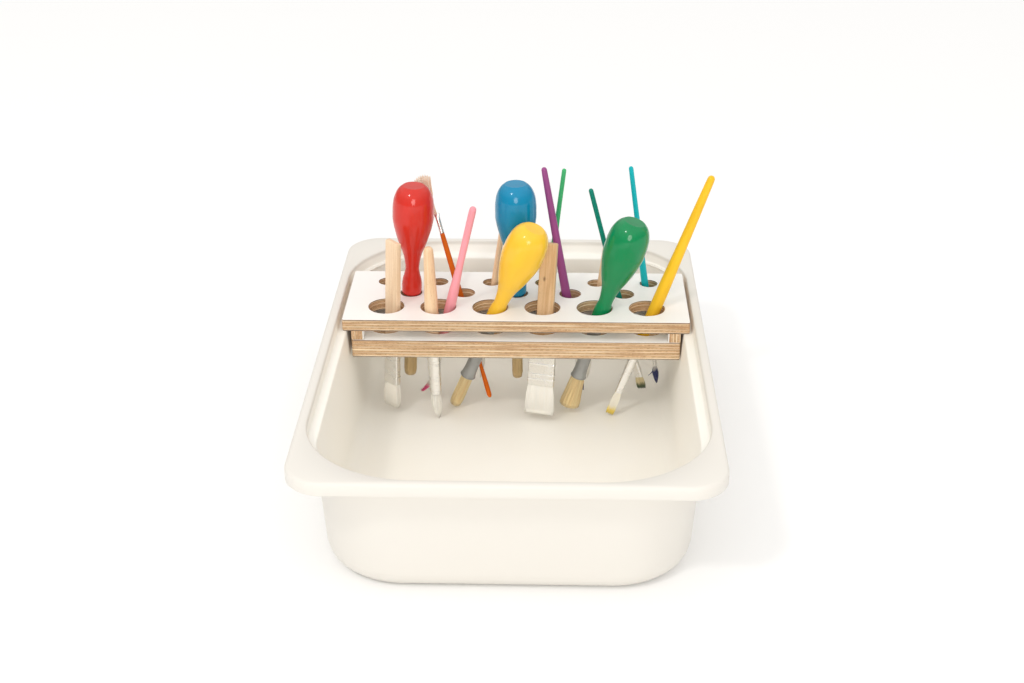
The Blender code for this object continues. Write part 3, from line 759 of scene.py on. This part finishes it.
def bulb_handle(brush, surface, slot):
    """Bulb with a flat sanded top whose rim is broken, a slim neck and a foot bead."""
    rows = [row for row in handle_rows(brush) if row[1] > 0.1]
    top, rim = rows[0]
    outline = [(top - 0.28, 0.05), (top - 0.22, rim * 0.45), (top - 0.06, rim * 0.86), (top, rim * 0.95)]
    outline += smooth_curve([(top - 0.12, rim)] + rows[1:], 8)
    foot, radius = rows[-1]
    outline += [(foot - 0.15, radius * 0.93), (foot - 0.2, 0.05)]
    brush.add("handle", turned(outline[::-1], BULB_STEPS), surface, slot, 60.0)


def flat_handle(brush, surface, corner, slope):
    """Flat strip of wood with softened edges; its end is cut at a slope."""
    ferrule_top = brush.ferrule_ends()[0]
    rows = [row[:3] for row in brush.sections("handle") if row[0] >= ferrule_top]
    curve = smooth_curve(rows, 9)
    top = curve[0][0]
    loops = []
    for height, wide, deep in curve:
        loop = rounded_rectangle(wide, deep, corner, height, 5)
        share = max(0.0, 1.0 - (top - height) / 12.0)
        loops.append([(x, y, z - slope * share * (x + wide)) for x, y, z in loop])
    end = loops[0]
    for size, lift in ((0.9, 0.2), (0.55, 0.25)):
        loops.insert(0, [(x * size, y * size * 0.98, z + lift) for x, y, z in end])
    brush.add("handle", skin(loops[::-1]), surface, "bare_wood", 35.0)


# ---- ferrules

def hump(away):
    """Smooth bump, 1 in its middle and 0 from a distance of 1 on."""
    return 0.5 * (1.0 + math.cos(math.pi * away)) if away < 1.0 else 0.0


def ring_relief(rings):
    """Radial relief of beads (positive) and grooves (negative): (height, half length, depth)."""
    def relief(height, angle):
        return sum(depth * hump(abs(height - middle) / reach) for middle, reach, depth in rings)
    return relief


def dimple_relief(rings, height_at, count, depth):
    """Rings and, at one height, a row of punched dimples."""
    plain = ring_relief(rings)

    def relief(height, angle):
        turn = (angle * count / math.tau) % 1.0 - 0.5
        return plain(height, angle) - depth * hump(math.hypot((height - height_at) / 0.9, turn * 3.2))
    return relief


def tube_loops(rows, relief, section, lip=0.0, spacing=0.55):
    """Loops down the outside of a thin tube, round its mouth and back up inside it."""
    outline = smooth_curve(rows, 6)[::-1]
    heights, *sizes = zip(*outline)
    top, mouth = rows[0][0], rows[-1][0]
    count = max(int((top - mouth) / spacing), 8)

    def at(height, change):
        return section([np.interp(height, heights, values) + change for values in sizes], height)

    loops = []
    for i in range(count + 1):
        height = top + (mouth - top) * i / count
        raised = []
        for x, y, z in at(height, 0.0):
            grown = 1 + relief(height, math.atan2(y, x)) / (math.hypot(x, y) or 1.0)
            raised.append((x * grown, y * grown, z))
        loops.append(raised)
    if lip > 0.0:
        loops += [at(mouth + 0.05, lip), at(mouth - 0.35, lip * 1.1)]
    loops.append(at(mouth - 0.12, -FERRULE_WALL * 0.5))
    for height in (mouth + 0.1, mouth + 8.0, top - 1.0, top):
        loops.append(at(height, -FERRULE_WALL))
    return loops


def round_section(size, height):
    return circle(*size, height, FERRULE_STEPS)


def flat_section(corner):
    """Maker of rounded rectangles; the corner shrinks with a thin section."""
    return lambda size, height: rounded_rectangle(*size, corner, height, 7)


def round_ferrule(brush, surface, slot, relief, lip=0.0):
    loops = tube_loops(brush.profile("ferrule"), relief, round_section, lip)
    brush.add("ferrule", skin(loops, ring=True), surface, slot, 50.0)


def flat_ferrule(brush, surface, rings, corner):
    """Pressed ferrule with rounded-rectangle sections."""
    rows = [row[:3] for row in brush.sections("ferrule")]
    loops = tube_loops(rows, ring_relief(rings), flat_section(corner), spacing=0.3)
    brush.add("ferrule", skin(loops, ring=True), surface, "nickel", 50.0)


# ---- bristles

def disc_points(count, chooser):
    """Evenly spread points of the unit disc, slightly jittered."""
    points = []
    for i in range(count):
        radius = math.sqrt((i + 0.5) / count)
        angle = i * GOLDEN_ANGLE + chooser.uniform(-0.15, 0.15)
        points.append((radius * math.cos(angle), radius * math.sin(angle)))
    return points


def slab_points(count, chooser):
    """Points of the square from -1 to 1: mostly along its sides, where a flat tuft is seen, some inside."""
    points = []
    for i in range(count):
        x = 2 * ((i + chooser.random()) / count) - 1
        y = chooser.choice((-1.0, 1.0))
        kind = i % 10
        if kind < 3:
            y = chooser.uniform(-1.0, 1.0)
        elif kind == 3:
            x, y = y, chooser.uniform(-1.0, 1.0)
        points.append((x, y))
    return points


def strand_mesh(paths, thickness, shades):
    """Three-sided tapered strands along the paths; returns vertices, faces and a shade for each vertex."""
    vertices, faces, values = [], [], []
    for path, shade in zip(paths, shades):
        start = len(vertices)
        rings = len(path)
        for number, (x, y, z) in enumerate(path):
            radius = thickness * (1.0 - 0.6 * (number / (rings - 1)) ** 2)
            for k in range(3):
                angle = math.tau * k / 3 + shade * 6.0
                vertices.append((x + radius * math.cos(angle), y + radius * math.sin(angle), z))
                values.append(shade)
        for ring in range(rings - 1):
            for k in range(3):
                a, b = start + ring * 3 + k, start + ring * 3 + (k + 1) % 3
                faces.append((a, b, b + 3, a + 3))
        faces.append((start + 2, start + 1, start))
        last = start + (rings - 1) * 3
        faces.append((last, last + 1, last + 2))
    return vertices, faces, values


def open_out(u, v, share):
    """The green brush's worn tuft opens towards its tip, more to one side."""
    spread_out = share ** 1.5
    return 2.4 * u * spread_out + (1.6 * max(u, 0.0) + 0.3) * spread_out, 1.2 * v * spread_out


def drift(amount, power):
    """A tuft whose tip drifts to one side."""
    return lambda u, v, share: (amount * share ** power, 0.0)


def widen(amount):
    """A flat tuft that fans out past its ferrule by an amount at each side."""
    return lambda u, v, share: (amount * u * share ** 0.8, 0.0)


STRAIGHT = drift(0.0, 1.0)


def tuft_outline(brush, flat, blunt):
    """Root and tip height of the CAD tuft, and a function for its half width and depth at a height."""
    sections = brush.sections("bristles")
    tip = sections[-1][0]
    top = brush.ferrule_ends()[1] + 7.0
    rows = [row for row in sections if row[0] <= top and max(row[1], row[3]) > 0.01][::-1]
    heights = [row[0] for row in rows]
    wides = [(row[1] if flat else row[3]) for row in rows]
    deeps = [(row[2] if flat else row[3]) for row in rows]
    if heights[0] > tip:
        heights.insert(0, tip)
        wides.insert(0, wides[0] * 0.25)
        deeps.insert(0, deeps[0] * 0.25)
    sizes = [[max(size, blunt) for size in values] for values in (wides, deeps)]

    def size_at(height):
        return [float(np.interp(height, heights, values)) for values in sizes]

    return heights[-1] - 0.5, tip, size_at


def tuft_core(root, tip, size_at, flat, splay):
    """Solid middle of a tuft that closes the gaps between its bristles."""
    loops = []
    fill = 0.93 if flat else 0.86
    for step in range(10):
        height = root + (tip + 0.9 - root) * step / 9
        share = (height - root) / (tip - root)
        wide, deep = scaled(size_at(height), fill)
        loop = rounded_rectangle(wide, deep, deep * 0.8, height, 4) if flat else circle(wide, height, 20)
        pushes = [splay(x / wide, y / deep, share) for x, y, z in loop]
        loops.append([(x + dx, y + dy, z) for (x, y, z), (dx, dy) in zip(loop, pushes)])
    return skin(loops)


def tuft(brush, surface, slot, count, thickness, seed, flat=False,
         splay=STRAIGHT, ragged=1.2, wave=0.12, blunt=0.0):
    """Bristles with ragged ends that fill the CAD tuft's outline, over a core; blunt is the least radius."""
    chooser = random.Random(seed)
    root, tip, size_at = tuft_outline(brush, flat, blunt)
    paths, shades = [], []
    for u, v in slab_points(count, chooser) if flat else disc_points(count, chooser):
        end = tip + chooser.random() ** 2 * ragged + (0.0 if flat else (u * u + v * v) * ragged * 0.8)
        phase, swing = chooser.uniform(0, math.tau), chooser.uniform(-wave, wave)
        path = []
        for step in range(8):
            share = step / 7
            height = root + (end - root) * share
            wide, deep = size_at(max(height, tip + 0.02))
            push_x, push_y = splay(u, v, share)
            x = u * wide * 0.97 + push_x + swing * math.sin(phase + share * 4.0) * share
            y = v * deep * 0.97 + push_y + swing * math.cos(phase + share * 3.0) * share
            path.append((x, y, height))
        paths.append(path)
        shades.append(chooser.random())
    vertices, faces, values = strand_mesh(paths, thickness, shades)
    core_vertices, core_faces = tuft_core(root, tip, size_at, flat, splay)
    offset = len(vertices)
    vertices += core_vertices
    values += [0.5] * len(core_vertices)
    faces += [tuple(i + offset for i in face) for face in core_faces]
    strand_piece(brush, "bristles", (vertices, faces, values), surface, slot, f"{brush.body}_bristles")


def strand_piece(brush, name, strands, surface, slot, node=None):
    vertices, faces, values = strands
    name = f"{brush.body}_{name}_strands"
    mesh = bpy.data.meshes.new(name)
    mesh.from_pydata([scaled(v, MM) for v in vertices], [], faces)
    attribute = mesh.attributes.new("strand", "FLOAT", "POINT")
    attribute.data.foreach_set("value", np.array(values, np.float32))
    item = show(name, mesh, [surface])
    item.matrix_world = brush.matrix
    attach(item, brush.body, slot, node)


def fan_tuft(brush, surface):
    """Thin fan of bristles that opens in a plane, in a few clumps with small gaps."""
    chooser = random.Random(41)
    rows = brush.sections("bristles")
    top = rows[0][0]
    root = rows[-1][0] + 0.5
    heights = [row[0] for row in rows][::-1]
    wides = [row[1] for row in rows][::-1]
    fullest = max(wides)
    paths, shades = [], []
    for number in range(FAN_STRANDS):
        u = 2 * (number + chooser.random()) / FAN_STRANDS - 1
        clump = 0.05 * math.sin(u * 23.0)
        dip = 2.6 * abs(u) ** 2.4 + chooser.random() ** 2 * 1.8 + 0.6 * (1.0 + math.sin(u * 23.0 + 1.0))
        end = top - 0.3 - dip
        depth = chooser.uniform(-0.42, 0.42)
        bend = chooser.uniform(-0.25, 0.25)
        path = []
        for step in range(9):
            share = step / 8
            height = root + (end - root) * share
            wide = fullest * (0.55 + 0.45 * share)
            if share < 0.6:
                wide = float(np.interp(height, heights, wides))
            x = (u + clump * share) * min(wide, fullest) * 0.9 + bend * math.sin(share * 3.0)
            x -= 3.0 * share + 2.2 * math.sin(math.pi * share)
            path.append((x, depth * (1.0 - 0.4 * share), height))
        paths.append(path)
        shades.append(chooser.random())
    strands = strand_mesh(paths, 0.10, shades)
    strand_piece(brush, "bristles", strands, surface, "cream_hair", "orange_fan_bristles")


# ---- the sixteen brushes

def build_bulb_brushes(grey, hog):
    worn = hair("worn_hog_hair", (0.88, 0.68, 0.37), (0.62, 0.42, 0.17))
    for colour_name, colour, bristle, count, splay, seed in (
        ("red", (0.67, 0.030, 0.018), worn, 620, STRAIGHT, 3),
        ("blue", (0.0, 0.245, 0.45), worn, 520, STRAIGHT, 5),
        ("yellow", (1.0, 0.60, 0.04), hog, 620, STRAIGHT, 7),
        ("green", (0.0, 0.25, 0.08), hog, 900, open_out, 9),
    ):
        brush = Brush(colour_name + "_dabber")
        paint_coat = lacquer(brush.body + "_lacquer", colour, gloss=True)
        bulb_handle(brush, paint_coat, colour_name + "_gloss")
        start = brush.ferrule_ends()[0]
        rings = ring_relief([(start - 3.0, 1.0, 0.25), (start - 5.5, 1.0, 0.25)])
        round_ferrule(brush, grey, "grey_ferrule", rings, lip=0.35)
        tuft(brush, bristle, "hog_hair", count, 0.15, seed, splay=splay)


def build_round_brushes(nickel, wood, white):
    blue_stain = stained("blue")
    table = (
        ("natural_round", None, white, 560, 0.11, drift(1.5, 2.0)),
        ("pink_round", (1.0, 0.39, 0.45), stained("pink"), 260, 0.09, drift(-6.8, 2.2)),
        ("purple_round", (0.36, 0.085, 0.27), stained("dark"), 260, 0.09, STRAIGHT),
        ("plain_round_left", None, white, 220, 0.09, STRAIGHT),
        ("light_green_round", (0.07, 0.50, 0.19), white, 220, 0.09, STRAIGHT),
        ("plain_round_right", None, white, 220, 0.09, STRAIGHT),
        ("turquoise_round", (0.01, 0.50, 0.55), blue_stain, 300, 0.10, STRAIGHT),
    )
    for number, (body, colour, bristle, count, thickness, splay) in enumerate(table):
        brush = Brush(body)
        if colour is None:
            turned_handle(brush, wood, "bare_wood")
        else:
            coat = body.replace("_round", "_lacquer")
            turned_handle(brush, lacquer(coat, colour), coat)
        start, mouth = brush.ferrule_ends()
        rings = [(start - 2.5, 0.9, -0.18), (start - 4.6, 0.9, -0.18), (mouth + 9.0, 0.8, -0.12)]
        relief = ring_relief(rings)
        if body == "natural_round":
            rings = [(start - 3.0, 1.1, 0.28), (start - 11.5, 0.9, 0.22), (start - 7.2, 0.7, -0.14)]
            relief = dimple_relief(rings, start - 9.2, 12, 0.42)
        round_ferrule(brush, nickel, "nickel", relief)
        blunt = 1.3 if body == "pink_round" else 0.0
        tuft(brush, bristle, "white_hair", count, thickness, 20 + number, splay=splay,
             ragged=0.9, wave=0.08, blunt=blunt)
    build_stray_tuft(blue_stain)


def build_stray_tuft(surface):
    """A small clump of paint-stuck bristle that stands off the turquoise brush's tuft."""
    brush = Brush("turquoise_round")
    chooser = random.Random(77)
    mouth = brush.ferrule_ends()[1]
    paths, shades = [], []
    for _ in range(60):
        angle = chooser.uniform(0, math.tau)
        around = chooser.uniform(0.0, 0.55)
        path = []
        for step in range(7):
            share = step / 6
            x = -1.2 - 5.4 * share ** 1.1 + around * math.cos(angle) * (1.0 - 0.5 * share)
            y = around * math.sin(angle) * (1.0 - 0.5 * share)
            path.append((x, y, mouth - 3.5 - 5.5 * share ** 0.7))
        paths.append(path)
        shades.append(chooser.random())
    strand_piece(brush, "stray_bristles", strand_mesh(paths, 0.10, shades), surface, "white_hair")


def build_flat_brushes(nickel, wood, maple, white, cream):
    brush = Brush("small_flat")
    flat_handle(brush, wood, 0.5, 0.09)
    start, mouth = brush.ferrule_ends()
    rings = [(start - 3.0, 0.6, 0.3), (mouth + 12.5, 0.6, 0.34), (mouth + 7.0, 0.6, 0.34)]
    flat_ferrule(brush, nickel, rings, 0.9)
    tuft(brush, cream, "cream_hair", 900, 0.10, 51, flat=True, splay=widen(1.0), ragged=0.8)

    brush = Brush("wide_flat")
    flat_handle(brush, maple, 0.8, 0.0)
    start, mouth = brush.ferrule_ends()
    rings = [(start - 3.0, 0.6, 0.4)] + [(mouth + height, 0.6, 0.5) for height in (18.5, 9.7, 5.5)]
    flat_ferrule(brush, nickel, rings, 1.1)
    tuft(brush, white, "white_hair", 1200, 0.11, 53, flat=True, splay=widen(1.7), ragged=0.7)

    brush = Brush("long_yellow_flat")
    turned_handle(brush, lacquer("long_yellow_lacquer", (1.0, 0.58, 0.03)), "yellow_lacquer")
    start = brush.ferrule_ends()[0]
    flat_ferrule(brush, nickel, [(start - 3.0, 0.9, -0.2), (start - 5.4, 0.9, -0.2)], 5.0)
    tuft(brush, stained("yellow"), "white_hair", 420, 0.10, 55, flat=True, splay=widen(0.6), ragged=1.6)

    brush = Brush("teal_flat")
    turned_handle(brush, lacquer("teal_lacquer", (0.006, 0.25, 0.18)), "teal_lacquer")
    start = brush.ferrule_ends()[0]
    flat_ferrule(brush, nickel, [(start - 3.0, 0.9, -0.18)], 4.0)
    tuft(brush, stained("olive"), "hog_hair", 380, 0.11, 57, flat=True)


def build_fan_brush(nickel):
    """Stored handle down, so its ferrule is made upside down and turned over."""
    brush = Brush("orange_fan")
    turned_handle(brush, lacquer("orange_lacquer", (0.70, 0.135, 0.008)), "orange_lacquer")
    rows = [(-row[0], *row[1:3]) for row in brush.sections("ferrule")][::-1]
    start, mouth = rows[0][0], rows[-1][0]
    relief = ring_relief([(start - 3.0, 0.8, -0.15), (start - 5.2, 0.8, -0.15), (mouth + 3.0, 0.8, -0.15)])
    loops = tube_loops(rows, relief, flat_section(math.inf))
    loops = [[(x, y, -z) for x, y, z in loop] for loop in loops]
    brush.add("ferrule", skin(loops, ring=True), nickel, "nickel", 50.0)
    fan_tuft(brush, hair("peach_hair", (1.0, 0.94, 0.84), (1.0, 0.56, 0.26)))


# ---- stage

def build_floor():
    made, tree, shader = new_surface("floor_paper", 0.8, specular=0.1)
    cloud = noise(tree, PLAIN, 3.0)
    paint(tree, shader, blend(tree, cloud, (0.965, 0.965, 0.965), (0.975, 0.975, 0.975)))
    mesh = bpy.data.meshes.new("floor")
    mesh.from_pydata([(x * FLOOR_REACH, y * FLOOR_REACH, 0) for x, y in CORNERS], [], [(0, 1, 2, 3)])
    mesh.materials.append(made)
    floor = add_object("floor", mesh)
    floor.location.z = -FLOOR_DROP


def area_light(name, place, size, power, colour):
    data = bpy.data.lights.new(name, "AREA")
    data.shape = "DISK"
    data.size = size
    data.energy = power
    data.color = colour
    item = add_object(name, data)
    item.location = place
    aim = Vector(LIGHT_AIM) - Vector(place)
    item.rotation_euler = aim.to_track_quat("-Z", "Y").to_euler()


def build_lights():
    """Bright ceiling over a darker room, a small soft key from the left and a low front light."""
    world = bpy.data.worlds.new("studio")
    bpy.context.scene.world = world
    world.use_nodes = True
    tree = world.node_tree
    sky = tree.nodes["Background"]
    sky.inputs["Color"].default_value = (1.0, 0.99, 0.975, 1.0)
    upwards = split(tree, add_node(tree, "TexCoord", {})["Generated"])[2]
    tree.links.new(spread(tree, upwards, 0.05, 0.75, 0.36, 1.11), sky.inputs["Strength"])
    for light in LIGHTS:
        area_light(*light)


def build_camera():
    data = bpy.data.cameras.new("camera")
    data.lens = CAMERA_LENS
    data.sensor_width = CAMERA_SENSOR
    data.clip_start = 0.05
    data.clip_end = 60.0
    camera = add_object("camera", data)
    yaw, pitch, roll = (math.radians(a) for a in (CAMERA_YAW, CAMERA_PITCH, CAMERA_ROLL))
    forward = Vector((math.sin(yaw) * math.cos(pitch), math.cos(yaw) * math.cos(pitch), -math.sin(pitch)))
    right = Vector((math.cos(yaw), -math.sin(yaw), 0.0))
    down = forward.cross(right)
    across = math.cos(roll) * right + math.sin(roll) * down
    up = -(math.cos(roll) * down - math.sin(roll) * right)
    camera.matrix_world = axes_matrix(across, up, -forward, CAMERA_PLACE)
    bpy.context.scene.camera = camera


def main():
    plastic = tub_plastic()
    white_sheet = laminate()
    cut_sheet = laminate_edge()
    nickel = plated("nickel", (0.93, 0.92, 0.90), 0.22, 0.30)
    grey = grey_coated()
    hog = hair("hog_hair", (1.0, 0.85, 0.51), (0.82, 0.57, 0.25))
    white = hair("white_hair", (1.0, 0.98, 0.92), (0.98, 0.93, 0.84))
    cream = hair("cream_hair", (1.0, 0.965, 0.89), (0.97, 0.91, 0.80))
    round_wood = bare_wood("birch_handle", (0.93, 0.68, 0.44), (0.83, 0.55, 0.32), 260.0)
    flat_wood = bare_wood("birch_strip", (0.90, 0.68, 0.47), (0.81, 0.57, 0.36), 320.0)
    knot = (-0.002, -0.002, 0.0125)
    maple = bare_wood("maple_strip", (0.82, 0.57, 0.33), (0.68, 0.42, 0.205), 300.0, knot)

    build_tub(plastic)
    build_board("upper_board", UPPER_VENEERS, white_sheet, cut_sheet)
    build_board("lower_board", LOWER_VENEERS, white_sheet, cut_sheet)
    build_spacers(white_sheet)
    build_screws(plated("zinc_screw", (0.62, 0.63, 0.66), 0.26, 0.42))
    build_bulb_brushes(grey, hog)
    build_round_brushes(nickel, round_wood, white)
    build_flat_brushes(nickel, flat_wood, maple, white, cream)
    build_fan_brush(nickel)

    build_floor()
    build_lights()
    build_camera()
    bpy.context.scene.view_settings.view_transform = "Standard"


main()
bpy.context.view_layer.update()
